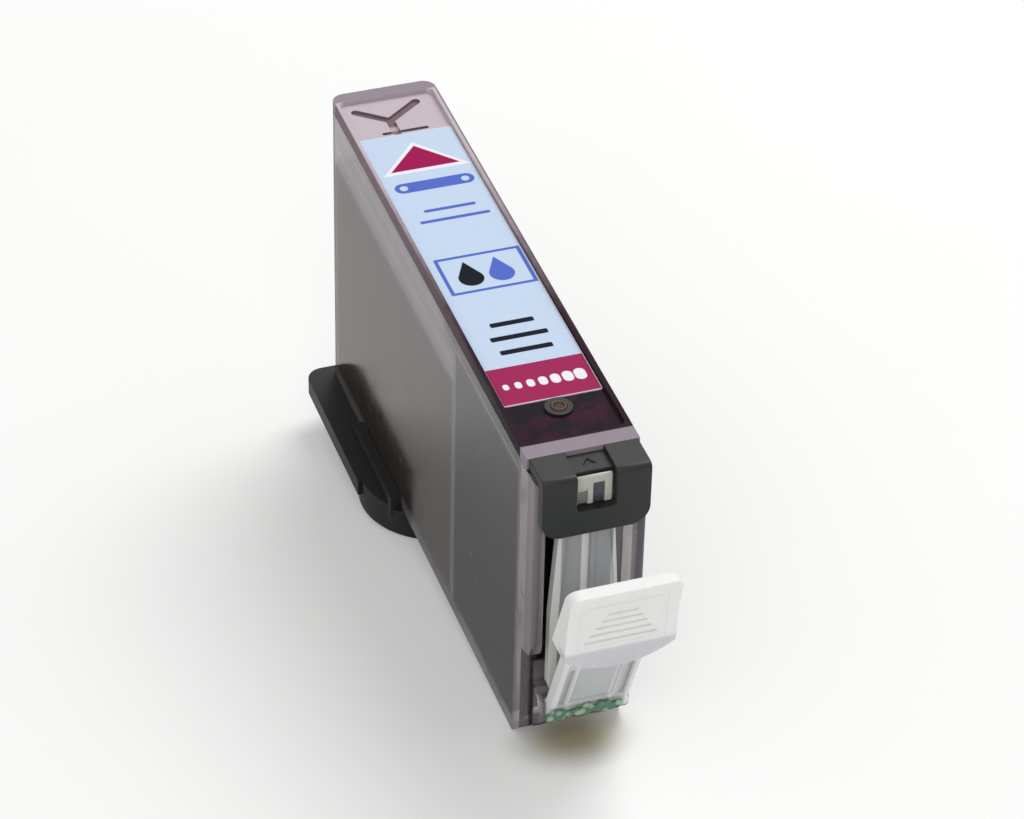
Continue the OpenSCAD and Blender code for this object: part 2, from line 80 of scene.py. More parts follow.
def make_camera():
    data = bpy.data.cameras.new("camera")
    data.sensor_width = SENSOR_MM
    data.lens = FOCAL_PIXELS * SENSOR_MM / IMAGE_W
    data.clip_start = 10 * MM
    data.clip_end = 10
    camera = bpy.data.objects.new("camera", data)
    bpy.context.scene.collection.objects.link(camera)
    axes = Matrix(camera_axes(AZIMUTH, ELEVATION, ROLL)).transposed().to_4x4()
    camera.matrix_world = Matrix.Translation(CAMERA_AT) @ axes
    bpy.context.scene.camera = camera
    return camera


camera = make_camera()
print("lens", round(camera.data.lens, 1), "mm")

# %% [markdown]
# ## Small tools for building materials
# A material is a tree of nodes. Four helpers keep the trees short to read:
# one adds a node with its settings, one links a socket or writes a plain
# value into it, and two stand for a sum on numbers and a sum on vectors.
# Colours are written as a picture shows them, from 0 to 255, and turned
# into the linear values that a shader wants.

# %% Node helpers


def seen(red, green, blue):
    """A colour as a picture shows it, turned into linear values with an alpha of 1."""
    linear = [((value / 255 + 0.055) / 1.055) ** 2.4 for value in (red, green, blue)]
    return (*linear, 1)


def add_node(tree, kind, **settings):
    node = tree.nodes.new(kind)
    for name, value in settings.items():
        setattr(node, name, value)
    return node


def feed(tree, socket, value):
    """Links an output socket to an input, or writes a plain value into it."""
    if isinstance(value, bpy.types.NodeSocket):
        tree.links.new(value, socket)
    else:
        socket.default_value = value


def calc(tree, operation, *values, clamp=False):
    node = add_node(tree, "ShaderNodeMath", operation=operation, use_clamp=clamp)
    for socket, value in zip(node.inputs, values):
        feed(tree, socket, value)
    return node.outputs[0]


def vector_calc(tree, operation, *values):
    node = add_node(tree, "ShaderNodeVectorMath", operation=operation)
    for socket, value in zip(node.inputs, values):
        feed(tree, socket, value)
    return node.outputs["Value" if operation in ("LENGTH", "DISTANCE") else "Vector"]


def mix_color(tree, mask, low, high):
    """The colour low where the mask is 0 and high where it is 1."""
    node = add_node(tree, "ShaderNodeMix", data_type="RGBA")
    feed(tree, node.inputs[0], mask)
    feed(tree, node.inputs[6], low)
    feed(tree, node.inputs[7], high)
    return node.outputs[2]


def step(tree, value, start, end):
    """0 below start, 1 above end, and a smooth rise between them."""
    node = add_node(tree, "ShaderNodeMapRange", interpolation_type="SMOOTHSTEP")
    feed(tree, node.inputs["Value"], value)
    feed(tree, node.inputs["From Min"], start)
    feed(tree, node.inputs["From Max"], end)
    return node.outputs["Result"]


def spread(tree, value, low, high):
    """Turns a value from 0 to 1 into one from low to high."""
    node = add_node(tree, "ShaderNodeMapRange")
    feed(tree, node.inputs["Value"], value)
    node.inputs["To Min"].default_value = low
    node.inputs["To Max"].default_value = high
    return node.outputs["Result"]


def noise(tree, place, scale, detail=3.0, roughness=0.5):
    """Cloudy noise; scale is the number of clouds in a millimetre."""
    node = add_node(tree, "ShaderNodeTexNoise")
    feed(tree, node.inputs["Vector"], place)
    feed(tree, node.inputs["Scale"], scale)
    node.inputs["Detail"].default_value = detail
    node.inputs["Roughness"].default_value = roughness
    return node.outputs["Fac"]


def place_in_mm(tree):
    """The point on the object, in millimetres of the construction model."""
    point = add_node(tree, "ShaderNodeTexCoord").outputs["Object"]
    in_mm = add_node(tree, "ShaderNodeMapping")
    feed(tree, in_mm.inputs["Vector"], point)
    in_mm.inputs["Scale"].default_value = (1 / MM, 1 / MM, 1 / MM)
    return in_mm.outputs["Vector"]


def new_material(name):
    """A material with a plain Principled BSDF: the material, its tree, the shader and the place."""
    material = bpy.data.materials.new(name)
    material.use_nodes = True
    tree = material.node_tree
    return material, tree, tree.nodes["Principled BSDF"], place_in_mm(tree)


def set_values(node, **values):
    """Sets sockets by name: Base_Color=(...) fills the socket Base Color."""
    for name, value in values.items():
        node.inputs[name.replace("_", " ")].default_value = value


def bump(tree, shader, height, depth_mm, strength=1.0):
    node = add_node(tree, "ShaderNodeBump")
    node.inputs["Strength"].default_value = strength
    node.inputs["Distance"].default_value = depth_mm * MM
    feed(tree, node.inputs["Height"], height)
    tree.links.new(node.outputs["Normal"], shader.inputs["Normal"])


def wear(material, *pieces):
    """Puts the material on pieces, in the place of what they had."""
    for piece in pieces:
        piece.data.materials.clear()
        piece.data.materials.append(material)


# %% [markdown]
# ## Effects that several finishes share
# Some effects come back on many pieces: a zone of the object with soft
# edges, the fine skin of moulded plastic, the light scuffs of handling, and
# the marks that a label's printer makes. Each is a node group, so it is
# built once and only its numbers change from finish to finish. A group
# gives out a mask or a height, never a whole shader.

# %% Making a node group


def new_group(name, inputs, outputs):
    """An empty group with its sockets; inputs are (name, type, value) and outputs are names."""
    group = bpy.data.node_groups.new(name, "ShaderNodeTree")
    for socket_name, kind, value in inputs:
        socket = group.interface.new_socket(socket_name, in_out="INPUT", socket_type=kind)
        socket.default_value = value
    for socket_name in outputs:
        group.interface.new_socket(socket_name, in_out="OUTPUT", socket_type="NodeSocketFloat")
    return group, group.nodes.new("NodeGroupInput").outputs, group.nodes.new("NodeGroupOutput").inputs


def use_group(tree, group, **values):
    """Puts a group into a tree and feeds its sockets by name."""
    node = add_node(tree, "ShaderNodeGroup", node_tree=group)
    for name, value in values.items():
        feed(tree, node.inputs[name.replace("_", " ")], value)
    return node.outputs


VECTOR, NUMBER = "NodeSocketVector", "NodeSocketFloat"
PLACE = ("Place", VECTOR, (0, 0, 0))


# %% A zone with soft edges
def make_zone_group():
    group, given, result = new_group(
        "zone", [PLACE, ("Middle", VECTOR, (0, 0, 0)), ("Half", VECTOR, (1, 1, 1)), ("Soft", NUMBER, 0.1)],
        ["Mask"])
    away = vector_calc(group, "ABSOLUTE", vector_calc(group, "SUBTRACT", given["Place"], given["Middle"]))
    past = vector_calc(group, "SUBTRACT", away, given["Half"])
    parts = add_node(group, "ShaderNodeSeparateXYZ")
    feed(group, parts.inputs[0], past)
    furthest = calc(group, "MAXIMUM", calc(group, "MAXIMUM", parts.outputs[0], parts.outputs[1]),
                    parts.outputs[2])
    inside = step(group, calc(group, "MULTIPLY", furthest, -1.0),
                  calc(group, "MULTIPLY", given["Soft"], -1.0), given["Soft"])
    feed(group, result["Mask"], inside)
    return group


zone_group = make_zone_group()


def zone(tree, place, low, high, soft=0.1):
    """1 between the corners low and high, in millimetres, and 0 outside."""
    low, high = Vector(low), Vector(high)
    return use_group(tree, zone_group, Place=place, Middle=(low + high) / 2, Half=(high - low) / 2,
                     Soft=soft)["Mask"]


# %% Moulded skin and scuffs
def make_skin_group():
    """Fine spark-eroded grain over slow waves, as moulded plastic has."""
    group, given, result = new_group("moulded_skin", [PLACE, ("Grain", NUMBER, 6.0)], ["Height", "Gloss"])
    grain = noise(group, given["Place"], given["Grain"], detail=2.0)
    waves = noise(group, given["Place"], 0.12, detail=1.0)
    feed(group, result["Height"], calc(group, "ADD", calc(group, "MULTIPLY", grain, 0.35), waves))
    feed(group, result["Gloss"], noise(group, given["Place"], 0.35, detail=4.0, roughness=0.6))
    return group


def make_scuff_group():
    """Thin short scratches that run along the object."""
    group, given, result = new_group("scuffs", [PLACE, ("Amount", NUMBER, 0.5)], ["Mask"])
    stretched = vector_calc(group, "MULTIPLY", given["Place"], (3.0, 0.16, 2.2))
    streaks = noise(group, stretched, 1.4, detail=5.0, roughness=0.7)
    patches = noise(group, given["Place"], 0.09, detail=2.0)
    line = step(group, streaks, 0.62, 0.70)
    area = step(group, patches, 0.45, 0.62)
    feed(group, result["Mask"], calc(group, "MULTIPLY", calc(group, "MULTIPLY", line, area), given["Amount"]))
    return group


skin_group = make_skin_group()
scuff_group = make_scuff_group()
print("shared effects:", [group.name for group in bpy.data.node_groups])

# %% [markdown]
# ## The table and the light
# The full ink chamber makes the tank nose-heavy, so it tips forward until
# its front corner touches the table, and stands there and on the round foot
# of its black cap. The table is one pale sheet through those two lines, with
# a painted warm contact shadow under the tank's front. The light is soft: a
# large lamp at the back on the right, a weaker one in front, and a pale room
# all round.

# %% Table
TABLE_REACH = 0.6
TABLE_GLOW = 0.2
FOOT_LINE = Vector((0, -9.6, -4.0)) * MM
FRONT_LINE = Vector((0, -48.7, 0.0)) * MM
# Middle and reach of the painted warm contact shadow under the tank's front, in millimetres
CONTACT_SHADOW_MIDDLE = Vector((-0.6, -52.2, 0))
CONTACT_SHADOW_REACH = Vector((9.5, 8.0, 0))


def table_height(y):
    slope = (FRONT_LINE.z - FOOT_LINE.z) / (FRONT_LINE.y - FOOT_LINE.y)
    return FOOT_LINE.z + slope * (y - FOOT_LINE.y) - 0.02 * MM


def make_table():
    bm = bmesh.new()
    bmesh.ops.create_grid(bm, x_segments=2, y_segments=2, size=TABLE_REACH)
    for vert in bm.verts:
        vert.co.z = table_height(vert.co.y)
    mesh = bpy.data.meshes.new("table")
    bm.to_mesh(mesh)
    bm.free()
    table = bpy.data.objects.new("table", mesh)
    bpy.context.scene.collection.objects.link(table)
    return table


def table_finish():
    """Smooth white laminate with a painted warm contact shadow under the tank's front; the camera sees it a
    little brighter than it is lit.
    """
    material, tree, shader, place = new_material("table_laminate")
    clouds = noise(tree, place, 0.01, detail=2.0)
    laminate = mix_color(tree, clouds, (0.80, 0.80, 0.793, 1), (0.83, 0.83, 0.823, 1))
    # Painted warm contact shadow: darker, warmer laminate that the camera does not see brightened
    from_contact_shadow = vector_calc(tree, "MULTIPLY", vector_calc(tree, "SUBTRACT", place, CONTACT_SHADOW_MIDDLE),
                             (1 / CONTACT_SHADOW_REACH.x, 1 / CONTACT_SHADOW_REACH.y, 0))
    painted_contact_shadow = step(tree, vector_calc(tree, "LENGTH", from_contact_shadow), 1.0, 0.1)
    tree.links.new(mix_color(tree, painted_contact_shadow, laminate, seen(182, 178, 156)), shader.inputs["Base Color"])
    tree.links.new(mix_color(tree, painted_contact_shadow, (1, 1, 0.995, 1), (0, 0, 0, 1)), shader.inputs["Emission Color"])
    set_values(shader, Roughness=0.7, Specular_IOR_Level=0.2)
    path = add_node(tree, "ShaderNodeLightPath")
    seen_directly = calc(tree, "MAXIMUM", path.outputs["Is Camera Ray"], path.outputs["Is Transmission Ray"])
    feed(tree, shader.inputs["Emission Strength"], calc(tree, "MULTIPLY", seen_directly, TABLE_GLOW))
    return material


table = make_table()
wear(table_finish(), table)

# %% Lamps and room
ROOM_COLOR = (0.95, 0.95, 0.95, 1)
ROOM_LIGHT = 0.47


def area_lamp(name, at, size, power):
    data = bpy.data.lights.new(name, "AREA")
    data.shape = "DISK"
    data.size = size
    data.energy = power
    lamp = bpy.data.objects.new(name, data)
    bpy.context.scene.collection.objects.link(lamp)
    place = Vector(at)
    lamp.matrix_world = Matrix.Translation(place) @ place.to_track_quat("Z", "Y").to_matrix().to_4x4()
    return lamp


area_lamp("key_lamp", at=(0.5, 0.4, 0.9), size=0.75, power=6.0)
area_lamp("front_lamp", at=(-0.35, -0.85, 0.75), size=0.8, power=3.1)


def make_room():
    """Lights the object evenly, and looks nearly white to the eye and in glass."""
    world = bpy.data.worlds.new("room")
    world.use_nodes = True
    bpy.context.scene.world = world
    tree = world.node_tree
    light = tree.nodes["Background"]
    light.inputs["Color"].default_value = (1, 1, 1, 1)
    light.inputs["Strength"].default_value = ROOM_LIGHT
    backdrop = add_node(tree, "ShaderNodeBackground")
    backdrop.inputs["Color"].default_value = ROOM_COLOR
    path = add_node(tree, "ShaderNodeLightPath")
    mix = add_node(tree, "ShaderNodeMixShader")
    tree.links.new(path.outputs["Is Camera Ray"], mix.inputs["Fac"])
    tree.links.new(light.outputs["Background"], mix.inputs[1])
    tree.links.new(backdrop.outputs["Background"], mix.inputs[2])
    tree.links.new(mix.outputs["Shader"], tree.nodes["World Output"].inputs["Surface"])


make_room()
bpy.context.scene.view_settings.view_transform = "Standard"
print("lamps:", [lamp.name for lamp in bpy.data.lights])

# %% [markdown]
# ## Rounded edges
# No moulded edge is sharp. The construction model has crisp ones, because
# its fits depend on them, so each visible piece gets live modifiers: Weld
# joins its loose triangles, Decimate turns them back into whole faces, and
# Bevel rounds what is left of the edges.

# %% Edge rounding


def round_edges(piece, width, segments=3, angle=32):
    weld = piece.modifiers.new("weld", "WELD")
    weld.merge_threshold = 0.002 * MM
    faces = piece.modifiers.new("whole_faces", "DECIMATE")
    faces.decimate_type = "DISSOLVE"
    faces.angle_limit = math.radians(0.5)
    bevel = piece.modifiers.new("rounded", "BEVEL")
    bevel.width = width * MM
    bevel.segments = segments
    bevel.limit_method = "ANGLE"
    bevel.angle_limit = math.radians(angle)
    bevel.harden_normals = True


EDGE_WIDTHS = {"tank_body": 0.18, "tank_lid": 0.15, "front_cap": 0.45, "latch_lever": 0.28,
               "outlet_cap": 0.4, "light_guide": 0.12, "chip_board": 0.08, "fill_plug": 0.1}
for name, width in EDGE_WIDTHS.items():
    round_edges(nodes[name], width)
print("rounded:", list(EDGE_WIDTHS))

# %% [markdown]
# ## Smoky clear plastic
# The tank is clear plastic with a little smoke in it, and it looks light
# and lavender only where nothing stands behind it. Where ink or foam wets
# its inner wall it turns dark. Plain glass would show the same thing, but
# with hard, inky margins, so the shader is part clear and part milky, and
# its colour follows two zones: the space of the ink and that of the foam.
# The zones come from the boxes of those pieces, so they follow the model.
# Light and dark lines and fields along the guard flanges, the nose, the
# guide and the upper wall are painted highlights and painted shade, since
# clear plastic gathers light at its edges and loses it in gaps and hollows.
# The weld's dark line and a scratch are real marks. They are painted as
# zones too.

# %% Clear tank


def in_mm(point):
    return Vector(point) / MM


def wet_zones(tree, place):
    """Masks of the walls in front of the ink and of the foam."""
    margin = Vector((2.0, 0, 0))
    ink_low, ink_high = (in_mm(corner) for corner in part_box("ink_charge"))
    foam_low, foam_high = in_mm(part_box("lower_sponge")[0]), in_mm(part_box("upper_sponge")[1])
    return (zone(tree, place, ink_low - margin, ink_high + margin, 0.35),
            zone(tree, place, foam_low - margin, foam_high + margin, 0.8))


# The name of each painted highlight, painted shade or real mark, its corners in millimetres, its softness and
# its colour
EDGE_LIGHT_SHADE_AND_MARKS = [
    ("highlight on the left flange edge", (-5.75, -54.8, 13.5), (-5.0, -53.6, 41), 0.06, seen(255, 253, 250)),
    ("shade on the left flange face", (-6.3, -54.8, 13.5), (-5.85, -53.9, 41), 0.12, seen(190, 191, 200)),
    ("highlight on the right flange edge", (5.0, -54.5, 13.5), (5.35, -51.0, 41), 0.06, seen(255, 251, 247)),
    ("shade on the right flange face", (5.5, -54.8, 13.5), (6.7, -53.8, 41), 0.15, seen(170, 164, 184)),
    ("light on the wall right of the guide", (3.5, -51.5, 9.0), (5.1, -50.6, 41), 0.15, seen(252, 248, 246)),
    ("shade in the gap left of the guide", (-5.2, -51.5, 12.0), (-3.0, -50.6, 41), 0.2, seen(16, 14, 17)),
    ("shade in the hollow of the nose", (-5.4, -52.0, 1.5), (-5.0, -48.0, 14.2), 0.25, seen(38, 32, 36)),
    ("highlight on the cheek of the nose", (-5.4, -55.2, 7.0), (-5.0, -53.3, 14.7), 0.2, seen(252, 247, 250)),
    ("scratch", (-6.7, -51.7, 22.0), (-6.3, -50.2, 22.3), 0.06, seen(44, 40, 46)),
    ("upper highlight line of the wall", (-6.7, -49.0, 38.2), (6.7, 21.0, 38.5), 0.08, seen(255, 248, 252)),
    ("lower highlight line of the wall", (-6.7, -25.0, 35.3), (6.7, 21.0, 35.6), 0.08, seen(255, 248, 252)),
    ("weld", (-6.8, -52.0, 39.8), (6.8, 24.0, 40.1), 0.06, seen(84, 72, 80)),
]


# Paints the highlights, the shade and the real marks over the colour
def paint_edge_light_shade_and_marks(tree, place, color):
    for _, low, high, soft, line_color in EDGE_LIGHT_SHADE_AND_MARKS:
        color = mix_color(tree, zone(tree, place, low, high, soft), color, line_color)
    return color


def tank_plastic():
    material, tree, shader, place = new_material("smoky_clear_plastic")
    ink, foam = wet_zones(tree, place)
    smoke = noise(tree, place, 0.10, detail=2.0)
    clear = mix_color(tree, smoke, seen(200, 188, 197), seen(218, 208, 215))
    behind_foam = mix_color(tree, noise(tree, place, 0.22, detail=5.0), seen(84, 70, 62), seen(108, 92, 83))
    behind_ink = mix_color(tree, smoke, seen(38, 34, 33), seen(60, 54, 53))
    color = mix_color(tree, ink, mix_color(tree, foam, clear, behind_foam), behind_ink)
    under_lid = zone(tree, place, (-8, -49, 37.6), (8, -22, 42), 0.8)
    color = mix_color(tree, under_lid, color, seen(118, 106, 112))
    drawn_out = vector_calc(tree, "MULTIPLY", place, (1.0, 0.55, 0.8))
    droplets = step(tree, noise(tree, drawn_out, 0.8, detail=1.0), 0.70, 0.78)
    color = mix_color(tree, calc(tree, "MULTIPLY", droplets, 0.6), color, seen(214, 200, 204))
    tree.links.new(paint_edge_light_shade_and_marks(tree, place, color), shader.inputs["Base Color"])
    skin = use_group(tree, skin_group, Place=place, Grain=2.0)
    scuffs = use_group(tree, scuff_group, Place=place, Amount=0.22)["Mask"]
    feed(tree, shader.inputs["Roughness"], calc(tree, "ADD", spread(tree, skin["Gloss"], 0.08, 0.2), scuffs))
    set_values(shader, Transmission_Weight=0.8, IOR=1.5, Specular_IOR_Level=0.27)
    bump(tree, shader, skin["Height"], 0.05, 0.06)
    return material


wear(tank_plastic(), nodes["tank_body"])
print("edge lines:", [line[0] for line in EDGE_LIGHT_SHADE_AND_MARKS])

# %% [markdown]
# ## The lid
# The lid is a milkier plastic, welded on. Its rim is lavender at both ends
# and dark along the sides, the floor of its recess is light at the back,
# where there is only air below, and nearly black with a magenta tint at the
# front, where ink clings to its underside. The air groove is painted as a
# darker line. Two slow changes of colour along the lid and a few zones give
# all of that.

# %% Clear lid


def lid_plastic():
    material, tree, shader, place = new_material("lid_plastic")
    low, high = (in_mm(corner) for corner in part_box("tank_lid"))
    label_low, label_high = (in_mm(corner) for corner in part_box("top_label"))
    parts = add_node(tree, "ShaderNodeSeparateXYZ")
    feed(tree, parts.inputs[0], place)
    wander = calc(tree, "MULTIPLY", calc(tree, "SUBTRACT", noise(tree, place, 0.3, detail=3.0), 0.5), 14.0)
    along = calc(tree, "ADD", parts.outputs[1], wander)
    toward_back = step(tree, along, label_low.y + 10, label_high.y)
    floor_color = mix_color(tree, toward_back, seen(58, 40, 50), seen(222, 208, 216))
    stain = step(tree, noise(tree, place, 0.32, detail=3.0), 0.42, 0.66)
    inked = mix_color(tree, stain, seen(44, 38, 44), seen(74, 38, 56))
    front_field = zone(tree, place, (low.x + 1.2, low.y + 2.4, low.z),
                       (high.x - 1.2, label_low.y + 5, high.z), 0.5)
    recess = mix_color(tree, front_field, floor_color, inked)
    rim_back = step(tree, along, label_low.y - 7, label_high.y - 5)
    rim_color = mix_color(tree, rim_back, seen(46, 34, 42), seen(142, 121, 131))
    middle = zone(tree, place, (low.x - 1, low.y + 2.2, low.z - 1),
                  (high.x + 1, high.y - 2.4, high.z + 1), 0.15)
    rim_color = mix_color(tree, middle, seen(172, 158, 170), rim_color)
    inner = zone(tree, place, (low.x + 0.18, low.y + 2.2, low.z),
                 (high.x - 0.18, high.y - 1.8, high.z + 1), 0.06)
    color = mix_color(tree, inner, rim_color, recess)
    # The air groove is painted as a darker line
    groove = zone(tree, place, (low.x + 0.9, label_high.y - 1, high.z - 0.98),
                  (high.x - 0.9, high.y - 2, high.z - 0.63), 0.03)
    stem = zone(tree, place, (-2.2, label_high.y - 2, low.z), (0.6, label_high.y + 2.4, high.z), 0.3)
    cross = zone(tree, place, (-4, label_high.y - 2, low.z), (4, label_high.y + 1.5, high.z), 0.1)
    arms = calc(tree, "MULTIPLY", groove, calc(tree, "SUBTRACT", 1.0, calc(tree, "MULTIPLY", stem, 0.8)))
    groove_line = calc(tree, "MAXIMUM", arms, calc(tree, "MULTIPLY", groove, calc(tree, "MULTIPLY", cross, 0.9)))
    color = mix_color(tree, groove_line, color, seen(140, 120, 128))
    tree.links.new(color, shader.inputs["Base Color"])
    skin = use_group(tree, skin_group, Place=place, Grain=2.5)
    scuffs = use_group(tree, scuff_group, Place=place, Amount=0.25)["Mask"]
    feed(tree, shader.inputs["Roughness"], calc(tree, "ADD", spread(tree, skin["Gloss"], 0.12, 0.26), scuffs))
    set_values(shader, Transmission_Weight=0.2, IOR=1.5, Specular_IOR_Level=0.0)
    bump(tree, shader, skin["Height"], 0.05, 0.08)
    return material


wear(lid_plastic(), nodes["tank_lid"])

# %% [markdown]
# ## The label's print
# The label is pale blue paper with printed marks. Each mark is a mask in
# the plane of the label: a bar with rounded ends, a triangle or a drop. The
# masks are computed from distances, so their edges stay crisp at any size,
# and no picture is needed. The marks are plain shapes: a magenta band and
# pointer that tell the ink's colour, rules and bars, and two drops.

# %% Masks of printed marks
INK_EDGE = 0.06
DROP_TIP = 2.2
DROP_TAPER = 0.51


def make_bar_group():
    """A bar with rounded corners; its size is given by half its width and half its height."""
    group, given, result = new_group(
        "printed_bar", [PLACE, ("Middle", VECTOR, (0, 0, 0)), ("Half", VECTOR, (1, 1, 0)),
                        ("Corner", NUMBER, 0.1)], ["Mask"])
    flat = vector_calc(group, "MULTIPLY", vector_calc(group, "SUBTRACT", given["Place"], given["Middle"]),
                       (1, 1, 0))
    corner = add_node(group, "ShaderNodeCombineXYZ")
    feed(group, corner.inputs[0], given["Corner"])
    feed(group, corner.inputs[1], given["Corner"])
    core = vector_calc(group, "SUBTRACT", given["Half"], corner.outputs[0])
    past = vector_calc(group, "MAXIMUM", vector_calc(group, "SUBTRACT", vector_calc(group, "ABSOLUTE", flat),
                                                     core), (0, 0, 0))
    reach = vector_calc(group, "LENGTH", vector_calc(group, "MULTIPLY", past, (1, 1, 0)))
    distance = calc(group, "SUBTRACT", reach, given["Corner"])
    feed(group, result["Mask"], step(group, calc(group, "MULTIPLY", distance, -1.0), -INK_EDGE, INK_EDGE))
    return group


def make_pointer_group():
    """A triangle with its point toward the back, given by half its base and its height."""
    group, given, result = new_group(
        "printed_pointer", [PLACE, ("Middle", VECTOR, (0, 0, 0)), ("Half base", NUMBER, 4.0),
                            ("Height", NUMBER, 5.0)], ["Mask"])
    local = vector_calc(group, "SUBTRACT", given["Place"], given["Middle"])
    parts = add_node(group, "ShaderNodeSeparateXYZ")
    feed(group, parts.inputs[0], local)
    across = calc(group, "ABSOLUTE", parts.outputs[0])
    left = calc(group, "SUBTRACT", 1.0, calc(group, "DIVIDE", parts.outputs[1], given["Height"]))
    edge = calc(group, "SUBTRACT", calc(group, "MULTIPLY", left, given["Half base"]), across)
    inside = calc(group, "MINIMUM", calc(group, "MULTIPLY", edge, 0.77), parts.outputs[1])
    feed(group, result["Mask"], step(group, inside, -INK_EDGE, INK_EDGE))
    return group


def make_drop_group():
    """A drop: a disc, and above it a cone that narrows to the tip."""
    group, given, result = new_group(
        "printed_drop", [PLACE, ("Middle", VECTOR, (0, 0, 0)), ("Radius", NUMBER, 1.0)], ["Mask"])
    local = vector_calc(group, "MULTIPLY", vector_calc(group, "SUBTRACT", given["Place"], given["Middle"]),
                        (1, 1, 0))
    disc = calc(group, "SUBTRACT", given["Radius"], vector_calc(group, "LENGTH", local))
    parts = add_node(group, "ShaderNodeSeparateXYZ")
    feed(group, parts.inputs[0], local)
    below_tip = calc(group, "SUBTRACT", calc(group, "MULTIPLY", given["Radius"], DROP_TIP),
                     parts.outputs[1])
    cone = calc(group, "SUBTRACT", calc(group, "MULTIPLY", below_tip, DROP_TAPER),
                calc(group, "ABSOLUTE", parts.outputs[0]))
    tangent = calc(group, "MULTIPLY", given["Radius"], 1 / DROP_TIP)
    cone = calc(group, "MINIMUM", cone, calc(group, "SUBTRACT", parts.outputs[1], tangent))
    feed(group, result["Mask"], step(group, calc(group, "MAXIMUM", disc, cone), -INK_EDGE, INK_EDGE))
    return group


bar_group, pointer_group, drop_group = make_bar_group(), make_pointer_group(), make_drop_group()

# %% Printed label
PAPER = seen(203, 221, 244)
MAGENTA = seen(166, 14, 84)
PRINT_BLUE = seen(86, 112, 205)
PRINT_DARK = seen(16, 22, 32)
PRINT_WHITE = seen(246, 246, 250)
CUT_EDGE = 0.1
DOTS = 7


def label_print():
    material, tree, shader, place = new_material("printed_label")
    low, high = (in_mm(corner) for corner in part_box("top_label"))
    front = low.y

    def bar(x, y, half_w, half_h, corner=0.1):
        return use_group(tree, bar_group, Place=place, Middle=(x, front + y, 0), Half=(half_w, half_h, 0),
                         Corner=corner)["Mask"]

    def paint(color, mask, ink):
        return mix_color(tree, mask, color, ink)

    fibres = noise(tree, place, 1.6, detail=4.0)
    color = mix_color(tree, fibres, seen(199, 217, 241), seen(208, 226, 249))
    # Rear part: pointer with a white outline, a blue bar and two thin rules
    white_pointer = use_group(tree, pointer_group, Place=place, Middle=(0.2, front + 46.3, 0),
                              Half_base=5.4, Height=6.2)["Mask"]
    pointer = use_group(tree, pointer_group, Place=place, Middle=(0.2, front + 46.9, 0),
                        Half_base=4.3, Height=4.8)["Mask"]
    color = paint(color, white_pointer, PRINT_WHITE)
    color = paint(color, pointer, MAGENTA)
    color = paint(color, bar(0.2, 43.4, 4.9, 1.0, 1.0), PRINT_BLUE)
    for x in (-3.6, 4.0):
        color = paint(color, bar(x, 43.4, 0.5, 0.5, 0.5), PAPER)
    for y, half_w in ((38.2, 3.2), (36.1, 4.3)):
        color = paint(color, bar(0.4, y, half_w, 0.28, 0.28), PRINT_BLUE)
    # Middle: a frame with two drops
    paper = color
    color = paint(color, bar(0.4, 24.9, 5.2, 3.65, 0.15), PRINT_BLUE)
    color = paint(color, bar(0.4, 24.9, 4.75, 3.2, 0.1), paper)
    for x, ink in ((-1.6, PRINT_DARK), (2.1, PRINT_BLUE)):
        drop = use_group(tree, drop_group, Place=place, Middle=(x, front + 24.0, 0), Radius=1.5)["Mask"]
        color = paint(color, drop, ink)
    # Front part: three dark rules, then the magenta band with a row of white dots
    for y, half_w in ((14.6, 2.6), (12.0, 3.4), (9.4, 3.1)):
        color = paint(color, bar(0.1, y, half_w, 0.42, 0.2), PRINT_DARK)
    color = paint(color, bar(0, 3.35, 8.0, 3.45, 0.05), MAGENTA)
    for index in range(DOTS):
        size = 0.34 + 0.055 * index
        color = paint(color, bar(-4.4 + 1.45 * index, 3.3, size, size * 1.5, size), PRINT_WHITE)
    # The cut edge of the paper stays white
    sheet = zone(tree, place, (low.x + CUT_EDGE, low.y + CUT_EDGE, low.z - 1),
                 (high.x - CUT_EDGE, high.y - CUT_EDGE, high.z + 1), 0.05)
    color = mix_color(tree, sheet, seen(232, 228, 236), color)
    tree.links.new(color, shader.inputs["Base Color"])
    feed(tree, shader.inputs["Roughness"], spread(tree, noise(tree, place, 0.5, detail=3.0), 0.32, 0.48))
    set_values(shader, Specular_IOR_Level=0.08)
    bump(tree, shader, calc(tree, "ADD", fibres, noise(tree, place, 0.08)), 0.02, 0.35)
    return material


wear(label_print(), nodes["top_label"])
print("label marks:", len([node for node in bpy.data.materials["printed_label"].node_tree.nodes
                           if node.type == "GROUP"]))

# %% [markdown]
# ## Plug and ring
# A dark rubber plug closes the filling hole, and a thin brown ring shows
# around its middle, where ink has dried. Both are small, so a fine grain
# and an uneven gloss are enough.

# %% Plug finish


def rubber(name, dark, light, grain=5.0, gloss=(0.35, 0.6), depth=0.02):
    """Matt dark stuff with fine grain: rubber, epoxy or soft plastic."""
    material, tree, shader, place = new_material(name)
    clouds = noise(tree, place, grain * 0.3, detail=4.0)
    tree.links.new(mix_color(tree, clouds, dark, light), shader.inputs["Base Color"])
    feed(tree, shader.inputs["Roughness"], spread(tree, clouds, *gloss))
    bump(tree, shader, noise(tree, place, grain, detail=3.0), depth, 0.5)
    return material


wear(rubber("plug_rubber", seen(22, 18, 22), seen(40, 32, 38)), nodes["fill_plug"])
wear(rubber("dried_ink_ring", seen(70, 44, 20), seen(120, 82, 40), grain=7.0), nodes["plug_ring"])

# %% [markdown]
# ## Ink and soaked foam
# Seen through the wall, the ink is nearly black, and only its edges show
# that it is magenta. The foam is an open sponge of cells, darker where it
# is soaked. A Voronoi texture gives the cells, and a slow noise says where
# the ink has climbed.

# %% Ink


